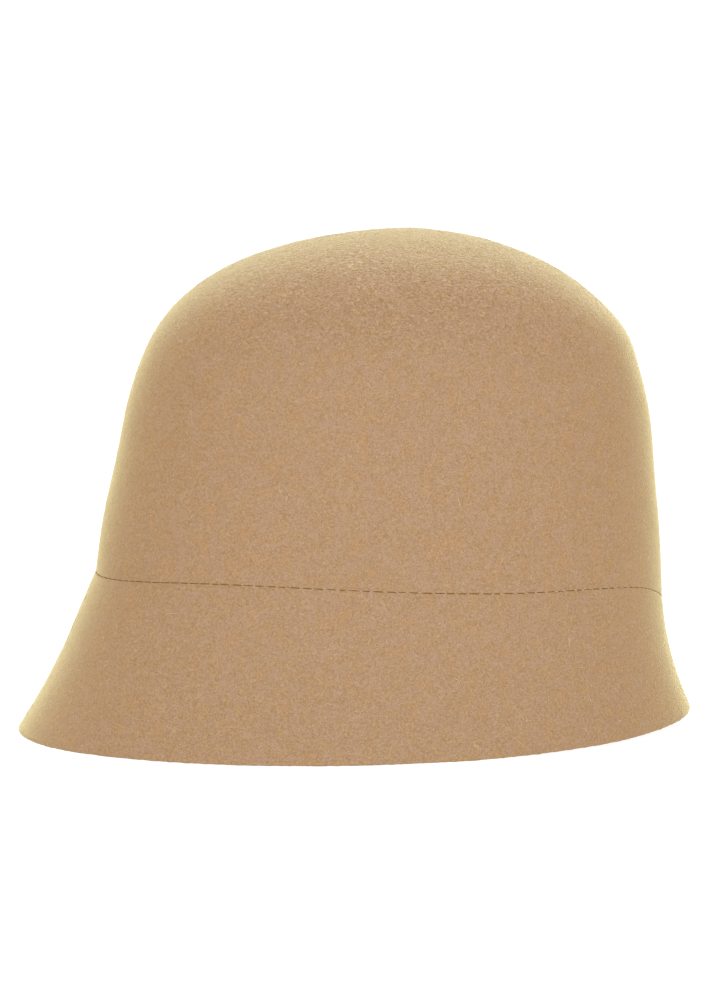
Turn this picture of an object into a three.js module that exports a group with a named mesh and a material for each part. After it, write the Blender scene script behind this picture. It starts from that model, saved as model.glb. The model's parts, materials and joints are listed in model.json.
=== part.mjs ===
// A felt cloche hat, in millimetres: a crown blocked to an egg-shaped oval, and a flared brim sewn to the
// crown's lower edge. +Z is up, the front of the hat faces -Y, and the wearer's left is +X. The origin is
// the middle of the rim, on the surface that the hat rests on.
import * as THREE from "three";

// Felt
const feltWall = 2.6;
const seamGap = 0.3; // between the crown's cut edge and the brim's
const seamRound = 0.9; // how far the felt rolls over at the seam
const rimRound = 0.8; // how far the rim's outer corner is rounded
const rimPressed = 0.6; // how much of the rim's lower corner is pressed flat by resting

// Crown
const headLength = 197; // inside the seam, front to back, for a 57 cm head
const headWidth = 164; // inside the seam, side to side
const hatHeight = 174.5; // from the surface that it rests on to the top of the crown
const crownWidest = 0.555; // where the crown is widest, as a share of its length from the front

// Brim
const brimReachFront = 28; // how far the rim stands out past the seam
const brimReachSide = 18;
const brimReachBack = 10;
const brimDepthFront = 55.5; // how far the seam lies above the rest surface
const brimDepthFrontQuarter = 57.5;
const brimDepthSide = 54;
const brimDepthBackQuarter = 51;
const brimDepthBack = 39.5;
const rimRiseBack = 3.5; // how far the rim lifts off the rest surface at the middle of the back
const rimWidest = 0.5; // where the rim is widest, as a share of its length from the front

// The crown's outline. height is a share of the way from the seam up to the top. front, side and back are
// shares of the seam's own reach that way, measured from the line where the crown is widest.
const crownSections = [
  { height: 0, front: 1, side: 1, back: 1 },
  { height: 0.16, front: 0.974, side: 0.985, back: 0.995 },
  { height: 0.34, front: 0.928, side: 0.96, back: 0.975 },
  { height: 0.5, front: 0.892, side: 0.93, back: 0.955 },
  { height: 0.62, front: 0.85, side: 0.89, back: 0.917 },
  { height: 0.72, front: 0.795, side: 0.83, back: 0.864 },
  { height: 0.81, front: 0.71, side: 0.735, back: 0.745 },
  { height: 0.89, front: 0.58, side: 0.59, back: 0.585 },
  { height: 0.95, front: 0.41, side: 0.4, back: 0.39 },
  { height: 0.985, front: 0.22, side: 0.21, back: 0.2 },
  { height: 1, front: 0, side: 0, back: 0 },
];

// The brim's flare. drop is a share of the way from the seam down to the rim. front, side and back are
// shares of the brim's reach that way.
const brimSections = [
  { drop: 0, front: 0, side: 0, back: 0 },
  { drop: 0.25, front: 0.22, side: 0.16, back: 0.11 },
  { drop: 0.5, front: 0.44, side: 0.38, back: 0.32 },
  { drop: 0.75, front: 0.7, side: 0.67, back: 0.62 },
  { drop: 1, front: 1, side: 1, back: 1 },
];

// Fineness of the faceted surfaces
const stepsAround = 64;
const crownSteps = 22;
const brimSteps = 8;
const roundSteps = 2;

// Sizes that follow
const seamLength = headLength + 2 * feltWall;
const seamWidth = headWidth + 2 * feltWall;
const rimLength = brimReachFront + seamLength + brimReachBack;
const rimHalfWidth = seamWidth / 2 + brimReachSide;
const seamFrontY = brimReachFront - rimLength / 2;
const crownMidY = seamFrontY + crownWidest * seamLength;
const rimMidY = (rimWidest - 0.5) * rimLength;

// The smooth curve through b and c, at a share u of the way between them. a and d are their neighbours.
function between(a, b, c, d, u) {
  return b + 0.5 * u * (c - a + u * (2 * a - 5 * b + 4 * c - d + u * (3 * (b - c) + d - a)));
}

// The value of one column at t, from 0 at the table's first row to 1 at its last. Past its ends the table
// is carried on by the rows given as before and after.
function smooth(rows, column, t, before, after) {
  const place = Math.min(t, 1) * (rows.length - 1);
  const i = Math.min(Math.floor(place), rows.length - 2);
  const value = (k) => (k < 0 ? before : k >= rows.length ? after : rows[k])[column];
  return between(value(i - 1), value(i), value(i + 1), value(i + 2), place - i);
}

// A row as far past the table's end as the row before it is short of it.
function carriedOn(end, inner) {
  return Object.fromEntries(Object.keys(end).map((k) => [k, 2 * end[k] - inner[k]]));
}

// The row that the crown's outline has on the far side of its top, so that the top is round.
function acrossTheTop(row) {
  return { height: row.height, front: -row.front, side: -row.side, back: -row.back };
}

// How much of a value belongs to the front, the sides and the back at an angle round the hat: 0 is the
// front, a quarter turn the wearer's left side.
function blend(angle, front, side, back) {
  const c = Math.cos(angle);
  const end = c > 0 ? front : back;
  return side + (end - side) * c * c;
}

// A point of an oval in plan, whose widest line lies at midY.
function ovalPoint(angle, front, side, back, midY) {
  const c = Math.cos(angle);
  return [side * Math.sin(angle), midY - (c > 0 ? front : back) * c];
}

// How high the seam runs at an angle, through the depths of the brim given for each eighth of a turn.
function seamHeight(angle) {
  const depths = [brimDepthFront, brimDepthFrontQuarter, brimDepthSide, brimDepthBackQuarter, brimDepthBack];
  const depth = (k) => depths[Math.min(((k % 8) + 8) % 8, (((8 - k) % 8) + 8) % 8)];
  const place = (angle / Math.PI) * 4;
  const i = Math.floor(place);
  return between(depth(i - 1), depth(i), depth(i + 1), depth(i + 2), place - i);
}

// The crown's outer surface. t runs from 0 at the seam to 1 at the top.
function crownPoint(angle, t) {
  const before = carriedOn(crownSections[0], crownSections[1]);
  const after = acrossTheTop(crownSections[crownSections.length - 2]);
  const share = (column) => smooth(crownSections, column, t, before, after);
  const [x, y] = ovalPoint(
    angle,
    share("front") * crownWidest * seamLength,
    (share("side") * seamWidth) / 2,
    share("back") * (1 - crownWidest) * seamLength,
    crownMidY,
  );
  const low = seamHeight(angle);
  return new THREE.Vector3(x, y, low + (hatHeight - low) * share("height"));
}

// How far the rim's lower edge is off the rest surface: it touches from the front to both sides and rises
// from there to the middle of the back.
function rimRise(angle) {
  return rimRiseBack * Math.min(Math.cos(angle), 0) ** 2;
}

// How far the rim's outer corner is above its lower edge: the rim is cut square to the felt, so its inner
// corner is lower, and that one is pressed flat.
function rimLift(angle) {
  const reach = blend(angle, brimReachFront, brimReachSide, brimReachBack);
  const last = brimSections.length - 1;
  const run = (column) => brimSections[last][column] - brimSections[last - 1][column];
  const out = blend(angle, run("front"), run("side"), run("back")) * reach;
  const down = (brimSections[last].drop - brimSections[last - 1].drop) * seamHeight(angle);
  return feltWall * Math.sin(Math.atan2(out, down)) - rimPressed;
}

// The brim's outer surface. t runs from 0 at the seam to 1 at the rim.
function brimPoint(angle, t) {
  const last = brimSections.length - 1;
  const before = carriedOn(brimSections[0], brimSections[1]);
  const after = carriedOn(brimSections[last], brimSections[last - 1]);
  const share = (column) => smooth(brimSections, column, t, before, after);
  const seam = ovalPoint(
    angle,
    crownWidest * seamLength,
    seamWidth / 2,
    (1 - crownWidest) * seamLength,
    crownMidY,
  );
  const rim = ovalPoint(
    angle,
    rimWidest * rimLength,
    rimHalfWidth,
    (1 - rimWidest) * rimLength,
    rimMidY,
  );
  const flare = blend(angle, share("front"), share("side"), share("back"));
  const high = seamHeight(angle);
  return new THREE.Vector3(
    seam[0] + (rim[0] - seam[0]) * flare,
    seam[1] + (rim[1] - seam[1]) * flare,
    high + (rimRise(angle) + rimLift(angle) - high) * share("drop"),
  );
}

const angles = Array.from({ length: stepsAround }, (_, i) => (i * 2 * Math.PI) / stepsAround);

// A frame on a surface at one place: the point, the direction down along the felt and the way out of it.
function surfaceFrame(surface, angle, t, downSign) {
  const step = 1e-3;
  const [t0, t1] = [Math.max(t - step, 0), Math.min(t + step, 1)];
  const around = surface(angle + step, t).sub(surface(angle - step, t));
  const down = surface(angle, t1).sub(surface(angle, t0)).multiplyScalar(downSign).normalize();
  const out = new THREE.Vector3().crossVectors(down, around).normalize();
  return { point: surface(angle, t), down, out };
}

const crownFrame = (angle, t) => surfaceFrame(crownPoint, angle, t, -1);
const brimFrame = (angle, t) => surfaceFrame(brimPoint, angle, t, 1);

// At the seam both pieces use the mean of their directions, so that their cut edges face each other.
function seamFrame(angle) {
  const [above, below] = [crownFrame(angle, 0), brimFrame(angle, 0)];
  return {
    point: above.point,
    down: above.down.add(below.down).normalize(),
    out: above.out.add(below.out).normalize(),
  };
}

// The place in a frame that is `deep` under the outer surface and `beyond` it along the felt.
function inFelt(frame, deep, beyond) {
  return frame.point.clone().addScaledVector(frame.out, -deep).addScaledVector(frame.down, beyond);
}

// Pairs of depth and reach round a rounded outer corner that ends a cut edge at reach 0.
function roundedCorner(radius) {
  return Array.from({ length: roundSteps + 1 }, (_, i) => {
    const a = (i * Math.PI) / 2 / roundSteps;
    return [radius * (1 - Math.cos(a)), radius * (Math.sin(a) - 1)];
  });
}

const ring = (place) => angles.map(place);

// A closed solid from rings of points that follow each other over its surface. A pole closes each end, or,
// with no poles, the last ring meets the first.
function solidOfRings(rings, poles) {
  const position = [];
  const index = [];
  for (const points of rings) for (const p of points) position.push(p.x, p.y, p.z);
  const at = (r, i) => (r % rings.length) * stepsAround + (i % stepsAround);
  for (let r = 0; r < rings.length - (poles ? 1 : 0); r++)
    for (let i = 0; i < stepsAround; i++) {
      index.push(at(r, i), at(r + 1, i), at(r + 1, i + 1));
      index.push(at(r, i), at(r + 1, i + 1), at(r, i + 1));
    }
  if (poles) {
    const first = rings.length * stepsAround;
    for (const p of poles) position.push(p.x, p.y, p.z);
    for (let i = 0; i < stepsAround; i++) {
      index.push(first, at(0, i), at(0, i + 1));
      index.push(first + 1, at(rings.length - 1, i + 1), at(rings.length - 1, i));
    }
  }
  const geometry = new THREE.BufferGeometry();
  geometry.setAttribute("position", new THREE.Float32BufferAttribute(position, 3));
  geometry.setIndex(index);
  geometry.computeVertexNormals();
  return geometry;
}

function crownGeometry() {
  const levels = Array.from({ length: crownSteps - 1 }, (_, i) => 1 - (i + 1) / crownSteps);
  const outer = levels.map((t) => ring((a) => crownPoint(a, t)));
  const edge = roundedCorner(seamRound).map(([deep, beyond]) =>
    ring((a) => inFelt(seamFrame(a), deep, beyond - seamGap / 2)),
  );
  const innerEdge = ring((a) => inFelt(seamFrame(a), feltWall, -seamGap / 2));
  const inner = levels.map((t) => ring((a) => inFelt(crownFrame(a, t), feltWall, 0))).reverse();
  const top = crownPoint(0, 1);
  const poles = [top, top.clone().setZ(top.z - feltWall)];
  return solidOfRings([...outer, ...edge, innerEdge, ...inner], poles);
}

function brimGeometry() {
  const levels = Array.from({ length: brimSteps - 1 }, (_, i) => (i + 1) / brimSteps);
  const flip = (frame) => ({ ...frame, down: frame.down.clone().negate() });
  const topEdge = roundedCorner(seamRound)
    .map(([deep, beyond]) => ring((a) => inFelt(flip(seamFrame(a)), deep, beyond - seamGap / 2)))
    .reverse();
  const outer = levels.map((t) => ring((a) => brimPoint(a, t)));
  const rimEdge = roundedCorner(rimRound).map(([deep, beyond]) =>
    ring((a) => inFelt(brimFrame(a, 1), deep, beyond)),
  );
  // Where the rim's cut face comes down to the flat lower edge, and the pressed corner inside it.
  const footEdge = ring((a) => {
    const frame = brimFrame(a, 1);
    return inFelt(frame, (frame.point.z - rimRise(a)) / frame.out.z, 0).setZ(rimRise(a));
  });
  const pressedCorner = ring((a) => inFelt(brimFrame(a, 1), feltWall, 0).setZ(rimRise(a)));
  const inner = levels.map((t) => ring((a) => inFelt(brimFrame(a, t), feltWall, 0))).reverse();
  const innerTop = ring((a) => inFelt(flip(seamFrame(a)), feltWall, -seamGap / 2));
  return solidOfRings([...topEdge, ...outer, ...rimEdge, footEdge, pressedCorner, ...inner, innerTop]);
}

const feltCamel = { color: 0xb89472, roughness: 0.95, metalness: 0 };

function piece(name, geometry) {
  const mesh = new THREE.Mesh(geometry, new THREE.MeshStandardMaterial(feltCamel));
  mesh.name = name;
  return mesh;
}

const hat = new THREE.Group();
hat.add(piece("crown", crownGeometry()));
hat.add(piece("brim", brimGeometry()));

export default hat;
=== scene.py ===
# A camel felt cloche on a white floor. Metres, +Z up, the hat's front faces -Y.
import json
import math

import bpy
import numpy as np
from mathutils import Matrix, Vector, noise

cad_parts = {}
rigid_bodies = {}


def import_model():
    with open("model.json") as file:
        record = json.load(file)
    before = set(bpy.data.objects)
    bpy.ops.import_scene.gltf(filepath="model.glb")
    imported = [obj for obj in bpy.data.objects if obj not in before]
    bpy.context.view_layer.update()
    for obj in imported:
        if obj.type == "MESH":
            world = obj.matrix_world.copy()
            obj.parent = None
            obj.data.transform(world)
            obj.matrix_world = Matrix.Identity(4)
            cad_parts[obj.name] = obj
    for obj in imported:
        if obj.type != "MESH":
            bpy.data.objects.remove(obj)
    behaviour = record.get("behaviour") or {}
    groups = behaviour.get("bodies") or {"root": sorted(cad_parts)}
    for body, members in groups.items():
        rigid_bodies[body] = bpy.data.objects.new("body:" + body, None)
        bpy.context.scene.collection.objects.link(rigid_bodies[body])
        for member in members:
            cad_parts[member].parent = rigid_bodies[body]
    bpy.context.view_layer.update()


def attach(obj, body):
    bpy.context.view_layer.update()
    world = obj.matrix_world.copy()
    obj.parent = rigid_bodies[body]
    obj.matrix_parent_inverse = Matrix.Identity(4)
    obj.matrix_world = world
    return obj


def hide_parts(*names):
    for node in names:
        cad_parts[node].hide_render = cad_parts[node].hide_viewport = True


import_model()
scene = bpy.context.scene
mm = 0.001

# The hat's shape, as its solids have it
hat = {
    "feltWall": 2.6 * mm,
    "headLength": 197 * mm,
    "headWidth": 164 * mm,
    "height": 174.5 * mm,
    "crownWidest": 0.555,  # share of the crown's length, from the front
    "brimReach": (28 * mm, 18 * mm, 10 * mm),  # front, side, back
    "brimDepth": (55.5 * mm, 57.5 * mm, 54 * mm, 51 * mm, 39.5 * mm),  # every eighth of a turn, front to back
    "rimRise": 3.5 * mm,  # at the middle of the back
    "rimPressed": 0.6 * mm,
}
# height, front, side, back
crownRows = [
    (0, 1, 1, 1),
    (0.16, 0.974, 0.985, 0.995),
    (0.34, 0.928, 0.96, 0.975),
    (0.5, 0.892, 0.93, 0.955),
    (0.62, 0.85, 0.89, 0.917),
    (0.72, 0.795, 0.83, 0.864),
    (0.81, 0.71, 0.735, 0.745),
    (0.89, 0.58, 0.59, 0.585),
    (0.95, 0.41, 0.4, 0.39),
    (0.985, 0.22, 0.21, 0.2),
    (1, 0, 0, 0),
]
# drop, front, side, back
brimRows = [
    (0, 0, 0, 0),
    (0.25, 0.22, 0.16, 0.11),
    (0.5, 0.44, 0.38, 0.32),
    (0.75, 0.7, 0.67, 0.62),
    (1, 1, 1, 1),
]
seamLength = hat["headLength"] + 2 * hat["feltWall"]
seamWidth = hat["headWidth"] + 2 * hat["feltWall"]
rimLength = hat["brimReach"][0] + seamLength + hat["brimReach"][2]
rimHalfWidth = seamWidth / 2 + hat["brimReach"][1]
crownMidY = hat["brimReach"][0] - rimLength / 2 + hat["crownWidest"] * seamLength

# Sewing. Waves are a strength, how often round the hat, and a height in the noise
seam = {
    "stitches": 144,
    "strays": ((0.9, 9, 0.3), (1.5, 34, 2.7)),  # waves, in columns of the felt's mesh
    "open": (0, 0.1, 0.85, 1, 1, 0.75),  # share of the gap at each column, from stitch to stitch
    "opens": (0.75, 1.1, 0.4),  # how far it opens after a stitch: usually, give or take, at least
    "opensLine": (1.7, 0.2, 5),
    "gapOpen": 0.30 * mm,
    "gapPinched": 0.04 * mm,
    "edgeRound": (0.06 * mm, 0.36 * mm),  # pinched, open
    "edgeTurns": (0, 0.52, 1.05, math.pi / 2),  # round that corner
    "grooveDeep": 0.45 * mm,
    "closedDeep": 1.4 * mm,
    "pull": 0.16 * mm,  # how far a stitch draws the felt in
    "pullReach": 1.6 * mm,
    "heldWithin": 16 * mm,  # the felt stays even this near the seam
    "looseEnds": 0.55,  # share of the gap that stays open at a stitch at the hat's front and back
    "looseFrom": 0.6,  # there the cosine of the turn is past this
    "looseOver": 0.25,
}
rim = {
    "round": 0.5 * mm,
    "roundParts": 4,
    "wobble": 0.22 * mm,  # how unevenly it is cut
    "waves": ((1, 34, 1.1), (0.5, 70, 4.1)),
    "lifted": 0.35 * mm,  # the most that its lower edge waves off the floor
    "liftedUsually": 0.3,  # share of that
    "upright": ((0.5, 0), (0.85, 0.1), (1, 0.6)),  # share of the way down, and inward in corner radii
}
columnsEach = len(seam["open"])
columnCount = seam["stitches"] * columnsEach


def startClean():
    for o in bpy.context.selected_objects:
        o.select_set(False)
    bpy.context.view_layer.objects.active = None


def select(obj):
    startClean()
    obj.select_set(True)
    bpy.context.view_layer.objects.active = obj


# Noise that changes smoothly from one stitch to the next, along a line through it
def lineNoise(k, often, y, z):
    return noise.noise(Vector((k * often, y, z)))


# Noise that changes smoothly round the hat, for each column
def roundNoise(waves):
    turns = np.arange(columnCount) * 2 * math.pi / columnCount
    return np.array(
        [
            sum(
                strength * noise.noise(Vector((often * math.cos(a), often * math.sin(a), height)))
                for strength, often, height in waves
            )
            for a in turns
        ]
    )


def between(a, b, c, d, u):
    return b + 0.5 * u * (c - a + u * (2 * a - 5 * b + 4 * c - d + u * (3 * (b - c) + d - a)))


def along(rows, t, before, after):
    table = np.vstack([before, rows, after])
    place = min(t, 1) * (len(rows) - 1)
    i = min(int(place), len(rows) - 2)
    return between(*table[i : i + 4], place - i)


def blend(angles, front, side, back):
    c = np.cos(angles)
    return side + (np.where(c > 0, front, back) - side) * c * c


def oval(angles, front, side, back, midY):
    c = np.cos(angles)
    return side * np.sin(angles), midY - np.where(c > 0, front, back) * c


def seamHeight(angles):
    front, frontQuarter, side, backQuarter, back = hat["brimDepth"]
    depths = np.array([front, frontQuarter, side, backQuarter, back, backQuarter, side, frontQuarter])
    place = angles / math.pi * 4
    i = np.floor(place).astype(int)
    return between(*(depths[(i + k) % 8] for k in (-1, 0, 1, 2)), place - i)


def crownRing(angles, t):
    rows = np.array(crownRows)
    height, front, side, back = along(
        rows, t, 2 * rows[0] - rows[1], rows[-2] * (1, -1, -1, -1)
    )
    x, y = oval(
        angles,
        front * hat["crownWidest"] * seamLength,
        side * seamWidth / 2,
        back * (1 - hat["crownWidest"]) * seamLength,
        crownMidY,
    )
    low = seamHeight(angles)
    return np.stack([x, y, low + (hat["height"] - low) * height], -1)


def rimRise(angles):
    return hat["rimRise"] * np.minimum(np.cos(angles), 0) ** 2


def rimLift(angles):
    last = np.array(brimRows[-1]) - np.array(brimRows[-2])
    out = blend(angles, *last[1:]) * blend(angles, *hat["brimReach"])
    return hat["feltWall"] * np.sin(np.arctan2(out, last[0] * seamHeight(angles))) - hat["rimPressed"]


def brimRing(angles, t):
    rows = np.array(brimRows)
    drop, front, side, back = along(rows, t, 2 * rows[0] - rows[1], 2 * rows[-1] - rows[-2])
    seamX, seamY = oval(
        angles,
        hat["crownWidest"] * seamLength,
        seamWidth / 2,
        (1 - hat["crownWidest"]) * seamLength,
        crownMidY,
    )
    rimX, rimY = oval(angles, rimLength / 2, rimHalfWidth, rimLength / 2, 0)
    flare = blend(angles, front, side, back)
    high = seamHeight(angles)
    return np.stack(
        [
            seamX + (rimX - seamX) * flare,
            seamY + (rimY - seamY) * flare,
            high + (rimRise(angles) + rimLift(angles) - high) * drop,
        ],
        -1,
    )


# Angles evenly spaced along the seam, sewn a little unevenly
def evenAngles():
    fine = np.linspace(0, 2 * math.pi, 4001)
    ring = crownRing(fine, 0)
    length = np.concatenate([[0], np.cumsum(np.linalg.norm(np.diff(ring, axis=0), axis=1))])
    places = np.arange(columnCount) + roundNoise(seam["strays"])
    return np.interp(places / columnCount * length[-1], length, fine)


angles = evenAngles()


def unit(v):
    return v / np.linalg.norm(v, axis=-1, keepdims=True)


# Points of a ring, the way down the felt and the way out of it
def frameOn(ringAt, t, downSign):
    step = 1e-3
    low, high = max(t - step, 0), min(t + step, 1)
    point = ringAt(angles, t)
    around = ringAt(angles + step, t) - ringAt(angles - step, t)
    down = unit(ringAt(angles, high) - ringAt(angles, low)) * downSign
    return point, down, unit(np.cross(down, around))


def seamFrame():
    point, crownDown, crownOut = frameOn(crownRing, 0, -1)
    _, brimDown, brimOut = frameOn(brimRing, 0, 1)
    return point, unit(crownDown + brimDown), unit(crownOut + brimOut)


# The t of rows at these distances from the seam, and how far the surface reaches
def rowsAt(ringAt, distances):
    fine = np.linspace(0, 1, 301)
    some = angles[:: columnCount // 8]
    rings = np.array([ringAt(some, t) for t in fine])
    pieces = np.linalg.norm(np.diff(rings, axis=0), axis=2).mean(axis=1)
    length = np.concatenate([[0], np.cumsum(pieces)])
    return np.interp(distances, length, fine), length[-1]


def steps(start, stop, size):
    return list(np.linspace(start, stop, max(int(round((stop - start) / size)), 1) + 1))


# 1 at the hat's front and back, 0 along its sides
def looseness():
    return np.clip((np.abs(np.cos(angles)) - seam["looseFrom"]) / seam["looseOver"], 0, 1)


# How open the seam is at each column, 0 where a stitch pinches it
def pinch():
    usual, spread, least = seam["opens"]
    opens = [usual + spread * lineNoise(k, *seam["opensLine"]) for k in range(seam["stitches"])]
    share = np.tile(seam["open"], seam["stitches"]) * np.repeat(np.clip(opens, least, 1), columnsEach)
    return np.maximum(share, looseness() * seam["looseEnds"])


openness = pinch()


# One number, or one for each column, as a column to multiply vectors with
def upright(values):
    return (values * np.ones(columnCount))[:, None]


# The rings of a felt edge at the seam, from its outer corner to its inner one.
# They leave a groove that closes inside the felt.
def seamEdge(sign):
    point, down, out = seamFrame()
    down = down * sign
    small, large = seam["edgeRound"]
    corner = small + (large - small) * openness
    gap = seam["gapPinched"] + (seam["gapOpen"] - seam["gapPinched"]) * openness
    rows = [(corner * (1 - math.cos(a)), corner * (math.sin(a) - 1), 1) for a in seam["edgeTurns"]]
    rows += [(corner + (seam["grooveDeep"] - corner) * share, 0, 1 - share) for share in (0.5, 1)]
    rows += [(seam["closedDeep"], 0, 0), (hat["feltWall"] - large, 0, 0), (hat["feltWall"], -large, 0)]
    rings = []
    for deep, beyond, groove in rows:
        reach = beyond - seam["gapPinched"] / 2 - (gap - seam["gapPinched"]) / 2 * groove
        drawn = deep + seam["pull"] * (1 - openness) * (1 - deep / hat["feltWall"])
        rings.append(point - out * upright(drawn) + down * upright(reach))
    return rings


# Rings of a surface at some depth in the felt; the outer one is drawn in where the stitches pull
def surfaceRings(ringAt, ts, distances, downSign, depth=0.0):
    rings = []
    for t, distance in zip(ts, distances):
        point, _, out = frameOn(ringAt, t, downSign)
        fade = math.exp(-((distance / seam["pullReach"]) ** 2))
        drawn = depth + (seam["pull"] * fade * (1 - openness) if depth == 0 else 0)
        rings.append(point - out * upright(drawn))
    return rings


# A smooth mesh whose faces all look outward
def smoothSkin(name, points, faces):
    mesh = bpy.data.meshes.new(name)
    mesh.from_pydata([tuple(p) for p in points], [], faces)
    mesh.update()
    obj = bpy.data.objects.new(name, mesh)
    scene.collection.objects.link(obj)
    select(obj)
    bpy.ops.object.mode_set(mode="EDIT")
    bpy.ops.mesh.select_all(action="SELECT")
    bpy.ops.mesh.normals_make_consistent(inside=False)
    bpy.ops.object.mode_set(mode="OBJECT")
    bpy.ops.object.shade_smooth()
    return obj


# One closed skin through rings of points that follow each other.
# The bands in the third argument, counted from the first ring, get the material of the cut felt, which
# carries painted shade of the seam's groove.
def loft(name, rings, cut, poles=None):
    count = len(rings)
    points = np.vstack(rings)
    n = columnCount
    faces = []
    for r in range(count if poles is None else count - 1):
        a, b = r * n, ((r + 1) % count) * n
        faces += [(a + i, b + i, b + (i + 1) % n, a + (i + 1) % n) for i in range(n)]
    if poles is not None:
        points = np.vstack([points, poles])
        first, last = count * n, count * n + 1
        end = (count - 1) * n
        faces += [(first, i, (i + 1) % n) for i in range(n)]
        faces += [(last, end + (i + 1) % n, end + i) for i in range(n)]
    obj = smoothSkin(name, points, faces)
    for p in obj.data.polygons:
        p.material_index = int(p.index < count * n and p.index // n in cut)
    return obj


# Hand-blocked felt is never quite even, but its edges meet at the seam.
# The distances are each ring's from the seam.
def unevenFelt(obj, name, size, strength, distances):
    free = obj.vertex_groups.new(name="free")
    free.add(range(len(distances) * columnCount, len(obj.data.vertices)), 1, "REPLACE")
    for r, distance in enumerate(distances):
        weight = min(distance / seam["heldWithin"], 1) ** 2
        free.add(range(r * columnCount, (r + 1) * columnCount), weight, "REPLACE")
    texture = bpy.data.textures.new(name, "CLOUDS")
    texture.noise_scale = size
    texture.noise_depth = 1
    select(obj)
    modifier = obj.modifiers.new(name, "DISPLACE")
    modifier.texture = texture
    modifier.texture_coords = "LOCAL"
    modifier.strength = strength
    modifier.mid_level = 0.5
    modifier.vertex_group = free.name
    bpy.ops.object.modifier_apply(modifier=name)
    obj.vertex_groups.clear()


# Felt
feltLook = {
    "light": (0.388, 0.224, 0.100),
    "dark": (0.301, 0.168, 0.065),
    "greyish": (0.364, 0.219, 0.122),
    "rusty": (0.410, 0.216, 0.076),
    "grainLight": (0.440, 0.274, 0.168),
    "grainDark": (0.243, 0.126, 0.031),
    # Wisp tones: lighter and darker copies of the felt, for curled fibres and, towards the crown's top,
    # painted highlights and shade of the nap
    "wispAndNapHighlight": (0.500, 0.322, 0.170),
    "wispAndNapShade": (0.235, 0.119, 0.026),
    # The cut felt in the seam's groove: warm and low in blue as painted shade of the groove
    "cut": (0.45, 0.22, 0.028),
    "cutDark": (0.31, 0.15, 0.018),
    "sheenTint": (1.0, 0.87, 0.37),
    "sheen": 0.92,
    "sheenRoughness": 0.30,
    "crownTop": (130 * mm, 165 * mm),  # the nap stands up more and more between these heights, and the wisps' painted nap highlights and shade grow stronger
    "napStands": (0.26, 0.6),  # how strongly it does, below and above them
    # How much the wisps show below and above those heights; above, they are painted nap highlights and shade
    "wispsAndNapShadeShow": (0.3, 1),
}
# scale, detail, roughness, distortion, stretch
feltNoise = {
    "grain": (2600, 2, 0.7, 0.4),  # single fibres
    "speckle": (1300, 2, 0.6, 0.6),
    "tangle": (520, 3, 0.6, 1.8, (1, 1, 2.2)),  # tufts of nap, brushed round the hat
    "wispsAndNapShade": (400, 3, 0.7, 3.0, (1, 1, 1.6)),  # longer fibres, curled; towards the crown's top their light and dark tones are painted highlights and shade of the nap
    "mottle": (210, 2, 0.55),
    "cloud": (26, 2),
}
# noise, where a colour starts in it and where it is full, how much it covers, colour
feltTints = [
    ("mottle", 0.42, 0.7, 0.45, "greyish"),
    ("mottle", 0.46, 0.28, 0.45, "rusty"),
    ("grain", 0.55, 0.72, 0.68, "grainLight"),
    ("grain", 0.45, 0.3, 0.68, "grainDark"),
]
feltSheen = {
    "Sheen Weight": feltLook["sheen"],
    "Sheen Roughness": feltLook["sheenRoughness"],
    "Sheen Tint": (*feltLook["sheenTint"], 1),
}


# Nodes of one material, in few words
class Nodes:
    def __init__(self, name, look):
        self.material = bpy.data.materials.new(name)
        self.material.use_nodes = True
        self.tree = self.material.node_tree
        self.shader = self.tree.nodes["Principled BSDF"]
        self.place = self.tree.nodes.new("ShaderNodeTexCoord").outputs["Object"]
        for socket, value in look.items():
            self.shader.inputs[socket].default_value = value

    def noise(self, scale, detail, roughness=0.5, distortion=0.0, stretch=(1, 1, 1)):
        mapping = self.tree.nodes.new("ShaderNodeMapping")
        mapping.inputs["Scale"].default_value = stretch
        self.tree.links.new(self.place, mapping.inputs["Vector"])
        node = self.tree.nodes.new("ShaderNodeTexNoise")
        self.tree.links.new(mapping.outputs["Vector"], node.inputs["Vector"])
        node.inputs["Scale"].default_value = scale
        node.inputs["Detail"].default_value = detail
        node.inputs["Roughness"].default_value = roughness
        node.inputs["Distortion"].default_value = distortion
        return node.outputs["Fac"]

    def ranged(self, value, low, high, toLow=0.0, toHigh=1.0):
        node = self.tree.nodes.new("ShaderNodeMapRange")
        for key, number in (("From Min", low), ("From Max", high), ("To Min", toLow), ("To Max", toHigh)):
            node.inputs[key].default_value = number
        self.tree.links.new(value, node.inputs["Value"])
        return node.outputs["Result"]

    # Inputs 6 and 7 and output 2 are the mix node's colours
    def mixed(self, factor, a, b):
        node = self.tree.nodes.new("ShaderNodeMix")
        node.data_type = "RGBA"
        self.tree.links.new(factor, node.inputs["Factor"])
        for socket, colour in ((node.inputs[6], a), (node.inputs[7], b)):
            if isinstance(colour, tuple):
                socket.default_value = (*colour, 1)
            else:
                self.tree.links.new(colour, socket)
        return node.outputs[2]

    def times(self, a, b):
        node = self.tree.nodes.new("ShaderNodeMath")
        node.operation = "MULTIPLY"
        self.tree.links.new(a, node.inputs[0])
        self.tree.links.new(b, node.inputs[1])
        return node.outputs["Value"]

    def bump(self, height, distance, strength, normal=None):
        node = self.tree.nodes.new("ShaderNodeBump")
        if isinstance(strength, float):
            node.inputs["Strength"].default_value = strength
        else:
            self.tree.links.new(strength, node.inputs["Strength"])
        node.inputs["Distance"].default_value = distance
        self.tree.links.new(height, node.inputs["Height"])
        if normal:
            self.tree.links.new(normal, node.inputs["Normal"])
        return node.outputs["Normal"]

    def into(self, socket, value):
        self.tree.links.new(value, self.shader.inputs[socket])


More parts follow.
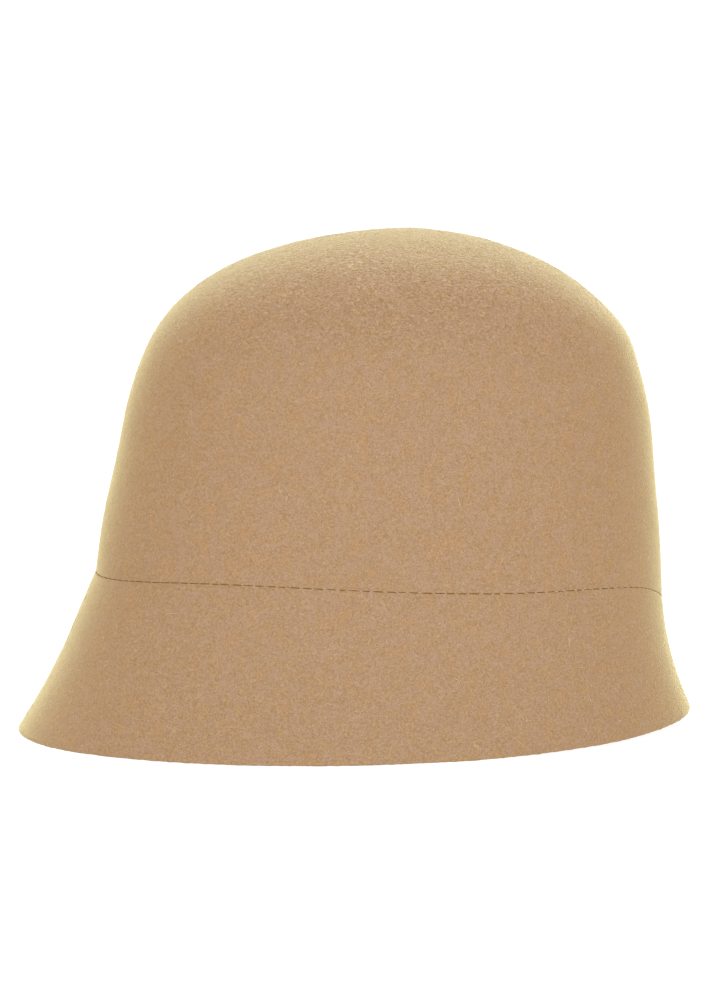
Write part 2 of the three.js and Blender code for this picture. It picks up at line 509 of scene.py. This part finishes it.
def feltMaterial():
    felt = Nodes("camelFelt", {"Roughness": 0.85, "Specular IOR Level": 0.18, **feltSheen})
    noises = {name: felt.noise(*values) for name, values in feltNoise.items()}
    height = felt.tree.nodes.new("ShaderNodeSeparateXYZ")
    felt.tree.links.new(felt.place, height.inputs["Vector"])
    crownTop = felt.ranged(height.outputs["Z"], *feltLook["crownTop"])

    colour = felt.mixed(felt.ranged(noises["speckle"], 0.37, 0.63), feltLook["dark"], feltLook["light"])
    for name, start, full, most, tint in feltTints:
        colour = felt.mixed(felt.ranged(noises[name], start, full, 0, most), colour, feltLook[tint])
    # Lighter and darker wisps, strongest at the crown's top, where they are painted highlights and shade of
    # the nap
    for start, full, tint in ((0.53, 0.64, "wispAndNapHighlight"), (0.47, 0.36, "wispAndNapShade")):
        wispsAndNapShade = felt.ranged(noises["wispsAndNapShade"], start, full)
        wispsAndNapShadeMask = felt.times(wispsAndNapShade, felt.ranged(crownTop, 0, 1, *feltLook["wispsAndNapShadeShow"]))
        colour = felt.mixed(wispsAndNapShadeMask, colour, feltLook[tint])
    felt.into("Base Color", colour)

    nap = felt.ranged(crownTop, 0, 1, *feltLook["napStands"])
    normal = felt.bump(noises["cloud"], 0.9 * mm, 0.5)
    normal = felt.bump(noises["tangle"], 0.8 * mm, nap, normal)
    normal = felt.bump(noises["speckle"], 0.30 * mm, nap, normal)
    normal = felt.bump(noises["grain"], 0.12 * mm, 0.8, normal)
    felt.into("Normal", normal)
    return felt.material


# The felt's core, where it was cut, coloured warm and low in blue as painted shade in the seam's groove
def cutMaterial():
    felt = Nodes("cutFelt", {"Roughness": 1.0, "Specular IOR Level": 0.05})
    layers = felt.noise(1500, 3, 0.7, 0.5)
    felt.into("Base Color", felt.mixed(felt.ranged(layers, 0.35, 0.65), feltLook["cut"], feltLook["cutDark"]))
    felt.into("Normal", felt.bump(layers, 0.15 * mm, 0.8))
    return felt.material


camelFelt = feltMaterial()
cutFelt = cutMaterial()


def finishFelt(obj, node):
    obj.data.materials.append(camelFelt)
    obj.data.materials.append(cutFelt)
    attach(obj, "root")
    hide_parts(node)


# Distances of the first rows of the felt's mesh from the seam
nearSeam = [0.75 * mm, 1.1 * mm, 1.6 * mm, 2.3 * mm, 3.2 * mm, 4.6 * mm]
nappedBands = 2  # the outermost bands of the rolled edge still have nap, the rest is cut felt, coloured with painted groove shade

# Crown
crownMesh = {
    "step": 3.3 * mm,
    "innerStep": 6 * mm,
    "topClear": 1.2 * mm,
    "unevenSize": 45 * mm,
    "uneven": 0.6 * mm,
}


# The crown, and its bands where loose fibres may grow, which stay clear of the seam
def makeCrown():
    _, reach = rowsAt(crownRing, [0])
    step, innerStep, stop = crownMesh["step"], crownMesh["innerStep"], reach - crownMesh["topClear"]
    outerAt = nearSeam + steps(nearSeam[-1] + step, stop, step)
    innerAt = steps(nearSeam[0], stop, innerStep)
    outerT, _ = rowsAt(crownRing, outerAt)
    innerT, _ = rowsAt(crownRing, innerAt)
    outer = surfaceRings(crownRing, outerT, outerAt, -1)[::-1]
    inner = surfaceRings(crownRing, innerT, innerAt, -1, hat["feltWall"])
    top = crownRing(angles[:1], 1)[0]
    poles = [top, top - np.array([0, 0, hat["feltWall"]])]
    edge = seamEdge(1)
    cut = range(len(outer) + nappedBands, len(outer) + len(edge) - 1)
    obj = loft("feltCrown", outer + edge + inner, cut, poles)
    distances = [*outerAt[::-1], *[0] * len(edge), *innerAt]
    unevenFelt(obj, "crownBlocking", crownMesh["unevenSize"], crownMesh["uneven"], distances)
    finishFelt(obj, "crown")
    return obj, range(len(outer) - len(nearSeam))


# Brim
brimMesh = {
    "firstStep": 1.8 * mm,
    "step": 2.2 * mm,
    "innerStep": 4 * mm,
    "rimClear": 4 * mm,
    "innerClear": 1.5 * mm,
    "lastRows": (2.8 * mm, 1.9 * mm, 1.2 * mm, 0.8 * mm),  # from the rim
    "unevenSize": 45 * mm,
    "uneven": 0.5 * mm,
}


# Depth and reach round an outer corner of this radius, from the felt's surface to its cut edge
def roundCorner(radius, count):
    a = np.linspace(0, math.pi / 2, count + 1)
    return list(zip(radius * (1 - np.cos(a)), radius * (np.sin(a) - 1)))


# The rings of the brim's edge, cut upright by hand, from its outer corner to the pressed inner one
def rimEdge():
    point, down, out = frameOn(brimRing, 1, 1)
    wobble = roundNoise(rim["waves"])
    reach = rim["wobble"] * wobble
    rings = []
    for deep, beyond in roundCorner(rim["round"], rim["roundParts"]):
        rings.append(point - out * deep + down * (beyond + reach)[:, None])
    lip = rings[-1]
    outward = unit(out * (1, 1, 0))
    rise = rimRise(angles)
    foot = np.minimum(rise + rim["lifted"] * np.clip(rim["liftedUsually"] + wobble, 0, 1), lip[:, 2])
    for share, inward in rim["upright"]:
        ring = lip - outward * inward * rim["round"]
        ring[:, 2] = lip[:, 2] + (foot - lip[:, 2]) * share
        rings.append(ring)
    corner = point - out * hat["feltWall"]
    corner[:, 2] = rise
    return rings + [corner]


# The brim, and its bands where loose fibres may grow, which stay clear of the seam and the rim
def makeBrim():
    _, reach = rowsAt(brimRing, [0])
    outerAt = nearSeam + steps(
        nearSeam[-1] + brimMesh["firstStep"], reach - brimMesh["rimClear"], brimMesh["step"]
    )
    outerAt += [reach - distance for distance in brimMesh["lastRows"]]
    innerAt = steps(nearSeam[0], reach - brimMesh["innerClear"], brimMesh["innerStep"])
    outerT, _ = rowsAt(brimRing, outerAt)
    innerT, _ = rowsAt(brimRing, innerAt)
    outer = surfaceRings(brimRing, outerT, outerAt, 1)
    inner = surfaceRings(brimRing, innerT, innerAt, 1, hat["feltWall"])[::-1]
    edge = seamEdge(-1)[::-1]
    rimRings = rimEdge()
    obj = loft("feltBrim", edge + outer + rimRings + inner, range(len(edge) - 1 - nappedBands))
    distances = [*[0] * len(edge), *outerAt, *[reach] * len(rimRings), *innerAt[::-1]]
    unevenFelt(obj, "brimBlocking", brimMesh["unevenSize"], brimMesh["uneven"], distances)
    for v in obj.data.vertices:
        v.co.z = max(v.co.z, 0)
    finishFelt(obj, "brim")
    return obj, range(len(edge) + len(nearSeam), len(edge) + len(outer) - len(brimMesh["lastRows"]))


print("felt crown")
crown, crownNap = makeCrown()
print("felt brim")
brim, brimNap = makeBrim()

# Loose fibres that have come out of the felt and lie curled on it
fibre = {
    "seed": 11,
    "count": 2600,
    "length": (1.5 * mm, 6.5 * mm),
    "radius": 0.045 * mm,
    "thinner": 0.6,  # share of the radius that is gone at the tip
    "section": (0, 2 * math.pi / 3, 4 * math.pi / 3),
    "off": (0, 0.12 * mm),  # its root and its freest tip
    "level": 0.5,  # how much of an upward heading is kept
    "curl": 2.4,
    "parts": 6,
    "rubbedMore": 3.0,  # how many more there are where the felt is rubbed
    "light": (0.68, 0.50, 0.30),
    "dark": (0.44, 0.26, 0.11),
}


def fibreMaterial():
    strand = Nodes("camelFibre", {"Roughness": 0.8, "Specular IOR Level": 0.18, **feltSheen})
    patch = strand.ranged(strand.noise(300, 1), 0.42, 0.58)
    strand.into("Base Color", strand.mixed(patch, fibre["dark"], fibre["light"]))
    return strand.material


# Where the fibres come out: more of them near the top, where the felt is rubbed
def fibreRoots(felt, bands, count, chance):
    low, high = feltLook["crownTop"]
    places, weights = [], []
    for p in felt.data.polygons[bands.start * columnCount : bands.stop * columnCount]:
        crownTop = min(max((p.center.z - low) / (high - low), 0), 1)
        places.append(p.center.copy())
        weights.append(p.area * (1 + fibre["rubbedMore"] * crownTop))
    weights = np.array(weights) / sum(weights)
    return [places[i] for i in chance.choice(len(places), count, p=weights)]


def fibrePath(felt, root, chance):
    _, place, normal, _ = felt.closest_point_on_mesh(root)
    heading = normal.cross(Vector(chance.normal(size=3) * (1, 1, fibre["level"]))).normalized()
    short, long = fibre["length"]
    step = (short + (long - short) * chance.random() ** 2) / fibre["parts"]
    curl = chance.normal() * fibre["curl"] / fibre["parts"]
    near, far = fibre["off"]
    free = chance.random() ** 2
    path = []
    for k in range(fibre["parts"] + 1):
        off = near + (far - near) * free * k / fibre["parts"]
        path.append((place + normal * off, heading, normal))
        heading = Matrix.Rotation(curl, 3, normal) @ heading
        _, place, normal, _ = felt.closest_point_on_mesh(place + heading * step)
        heading = (heading - normal * heading.dot(normal)).normalized()
    return path


# Points and faces of a thin three-sided tube, whose points are numbered from start
def fibreTube(path, start):
    points, faces = [], []
    for k, (place, heading, normal) in enumerate(path):
        side = normal.cross(heading)
        radius = fibre["radius"] * (1 - fibre["thinner"] * (k / fibre["parts"]) ** 2)
        for turn in fibre["section"]:
            spot = place + (side * math.cos(turn) + normal * math.sin(turn)) * radius
            points.append((spot.x, spot.y, max(spot.z, 0)))
    for k in range(fibre["parts"]):
        a, b = start + 3 * k, start + 3 * k + 3
        faces += [(a + i, a + (i + 1) % 3, b + (i + 1) % 3, b + i) for i in range(3)]
    end = start + len(points)
    faces += [(start + 2, start + 1, start), (end - 3, end - 2, end - 1)]
    return points, faces


def makeFibres():
    chance = np.random.default_rng(fibre["seed"])
    felts = ((crown, crownNap), (brim, brimNap))
    areas = [sum(p.area for p in felt.data.polygons) for felt, _ in felts]
    points, faces = [], []
    for (felt, bands), area in zip(felts, areas):
        for root in fibreRoots(felt, bands, int(fibre["count"] * area / sum(areas)), chance):
            tubePoints, tubeFaces = fibreTube(fibrePath(felt, root, chance), len(points))
            points += tubePoints
            faces += tubeFaces
    nap = smoothSkin("looseNap", points, faces)
    nap.data.materials.append(fibreMaterial())
    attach(nap, "root")


print("loose fibres")
makeFibres()

# Thread
stitch = {
    "length": 1.7 * mm,  # along the seam
    "across": 0.7 * mm,  # from the crown's edge to the brim's
    "ply": 0.1 * mm,
    "plySides": 5,
    "plyApart": 0.9,  # from the thread's middle to the ply's, in radii of the ply
    "parts": 7,
    "twists": 1.5,
    "buried": 0.35 * mm,  # its ends, in the felt
    "proud": 0.12 * mm,  # its middle, out of the felt
    "slant": 0.35,
    "slantLine": (2.3, 7.1, 0.4),
    "uneven": 0.25 * mm,  # how much deeper or higher one lies than another
    "unevenLine": (3.1, 2.2, 9.6),
    "sunk": 0.22 * mm,  # at the hat's front and back, where it lies deep in the seam
    "colour": (0.57, 0.38, 0.165),
    "shade": (0.40, 0.25, 0.09),
}


def threadMaterial():
    thread = Nodes("beigeThread", {"Roughness": 0.6, "Specular IOR Level": 0.4, "Sheen Weight": 0.3})
    lint = thread.noise(4000, 2)
    patch = thread.ranged(lint, 0.35, 0.65)
    thread.into("Base Color", thread.mixed(patch, stitch["shade"], stitch["colour"]))
    thread.into("Normal", thread.bump(lint, 0.03 * mm, 0.5))
    return thread.material


# Places what has its X, Y and Z along these axes
def placed(place, axes):
    return Matrix.Translation(place) @ Matrix(axes).transposed().to_4x4()


# One stitch of two twisted plies along X, its middle bulging to +Z
def modelStitch():
    startClean()
    for ply in range(2):
        bpy.ops.mesh.primitive_cylinder_add(
            vertices=stitch["plySides"],
            radius=stitch["ply"],
            depth=stitch["length"],
            rotation=(0, math.pi / 2, 0),
        )
        obj = bpy.context.object
        bpy.ops.object.transform_apply(location=True, rotation=True, scale=True)
        bpy.ops.object.mode_set(mode="EDIT")
        for k in range(1, stitch["parts"]):
            bpy.ops.mesh.select_all(action="SELECT")
            x = (k / stitch["parts"] - 0.5) * stitch["length"]
            bpy.ops.mesh.bisect(plane_co=(x, 0, 0), plane_no=(1, 0, 0))
        bpy.ops.object.mode_set(mode="OBJECT")
        for v in obj.data.vertices:
            share = v.co.x / stitch["length"]
            turn = 2 * math.pi * stitch["twists"] * share + ply * math.pi
            bulge = 1 - (2 * share) ** 2
            y, z = (wave(turn) * stitch["ply"] * stitch["plyApart"] for wave in (math.cos, math.sin))
            v.co.y += y - share * stitch["across"]
            v.co.z += z + stitch["proud"] * bulge - stitch["buried"] * (1 - bulge)
        obj.name = f"ply{ply}"
    startClean()
    for ply in range(2):
        bpy.data.objects[f"ply{ply}"].select_set(True)
    bpy.context.view_layer.objects.active = bpy.data.objects["ply0"]
    bpy.ops.object.join()
    bpy.ops.object.shade_smooth_by_angle(angle=math.radians(50))
    return bpy.context.object


def makeThread():
    model = modelStitch()
    point, down, out = seamFrame()
    sides = ((0, 1), (hat["feltWall"], -1))  # depth of the felt's two sides, and which way is out
    copies = []
    loose = looseness()
    for k in range(seam["stitches"]):
        i = k * columnsEach
        slant = stitch["slant"] * lineNoise(k, *stitch["slantLine"])
        sunk = loose[i] * stitch["sunk"] + stitch["uneven"] * lineNoise(k, *stitch["unevenLine"])
        for depth, side in sides:
            normal = Vector(out[i]) * side
            across = -Vector(down[i])
            lengthwise = across.cross(normal)
            lengthwise = lengthwise * math.cos(slant) + across * math.sin(slant)
            across = normal.cross(lengthwise)
            place = Vector(point[i]) - Vector(out[i]) * (depth + side * (sunk + seam["pull"] * (depth == 0)))
            copy = model.copy()
            copy.data = model.data.copy()
            copy.matrix_world = placed(place, (lengthwise, across, normal))
            scene.collection.objects.link(copy)
            copies.append(copy)
    bpy.data.objects.remove(model)
    startClean()
    for copy in copies:
        copy.select_set(True)
    thread = copies[0]
    bpy.context.view_layer.objects.active = thread
    bpy.ops.object.join()
    bpy.ops.object.transform_apply(location=True, rotation=True, scale=True)
    thread.name = thread.data.name = "seamThread"
    thread.data.materials.append(threadMaterial())
    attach(thread, "root")


print("seam thread")
makeThread()

# Floor, light and camera
studio = {
    "floorSize": 14,
    "floorColour": (0.2, 0.2, 0.2),
    "floorGlow": 0.93,
    "surround": 1.02,
    "lightAim": (0, 0, 0.08),
    "lightDistance": 2.2,
    "camera": {
        "azimuth": 74,
        "elevation": 5.4,
        "roll": -0.5,
        "distance": 1.6,
        "aim": (0, 1.2 * mm, 78.9 * mm),
        "lens": 163.2,
    },
}
# name, azimuth, elevation, size, power, colour
softboxes = [
    ("frontSoftbox", 79, 14, 1.2, 39, (0.43, 0.56, 1.0)),
    ("backSoftbox", 254, 46, 1.5, 48, (0.69, 0.76, 1.0)),
    ("lowBackSoftbox", 254, 18, 1.2, 3, (1, 1, 1)),
]


def makeFloor():
    startClean()
    bpy.ops.mesh.primitive_plane_add(size=studio["floorSize"], location=(0, 0, 0))
    floor = bpy.context.object
    floor.name = "floor"
    material = bpy.data.materials.new("whiteFloor")
    material.use_nodes = True
    shader = material.node_tree.nodes["Principled BSDF"]
    shader.inputs["Base Color"].default_value = (*studio["floorColour"], 1)
    shader.inputs["Roughness"].default_value = 0.9
    shader.inputs["Specular IOR Level"].default_value = 0
    shader.inputs["Emission Color"].default_value = (1, 1, 1, 1)
    shader.inputs["Emission Strength"].default_value = studio["floorGlow"]
    floor.data.materials.append(material)


# The way from the hat to a light or the camera
def wayBack(azimuth, elevation):
    level = math.cos(elevation)
    return Vector((math.sin(azimuth) * level, -math.cos(azimuth) * level, math.sin(elevation)))


def areaLight(name, azimuth, elevation, size, power, colour):
    back = wayBack(math.radians(azimuth), math.radians(elevation))
    data = bpy.data.lights.new(name, "AREA")
    data.shape = "SQUARE"
    data.size = size
    data.energy = power
    data.color = colour
    light = bpy.data.objects.new(name, data)
    light.location = Vector(studio["lightAim"]) + back * studio["lightDistance"]
    light.rotation_euler = back.to_track_quat("Z", "Y").to_euler()
    scene.collection.objects.link(light)


def makeWorld():
    world = bpy.data.worlds.new("studioWhite")
    world.use_nodes = True
    background = world.node_tree.nodes["Background"]
    background.inputs["Color"].default_value = (1, 1, 1, 1)
    background.inputs["Strength"].default_value = studio["surround"]
    scene.world = world


def makeCamera():
    view = studio["camera"]
    azimuth, elevation, roll = (math.radians(view[name]) for name in ("azimuth", "elevation", "roll"))
    back = wayBack(azimuth, elevation)
    right = Vector((math.cos(azimuth), math.sin(azimuth), 0))
    up = back.cross(right)
    turnedRight = right * math.cos(roll) + up * math.sin(roll)
    turnedUp = up * math.cos(roll) - right * math.sin(roll)
    data = bpy.data.cameras.new("camera")
    data.lens = view["lens"]
    data.sensor_width = 36
    data.sensor_fit = "AUTO"
    data.clip_end = 50
    camera = bpy.data.objects.new("camera", data)
    place = Vector(view["aim"]) + back * view["distance"]
    camera.matrix_world = placed(place, (turnedRight, turnedUp, back))
    scene.collection.objects.link(camera)
    scene.camera = camera


print("floor, light and camera")
makeFloor()
makeWorld()
for softbox in softboxes:
    areaLight(*softbox)
makeCamera()
scene.view_settings.view_transform = "Standard"
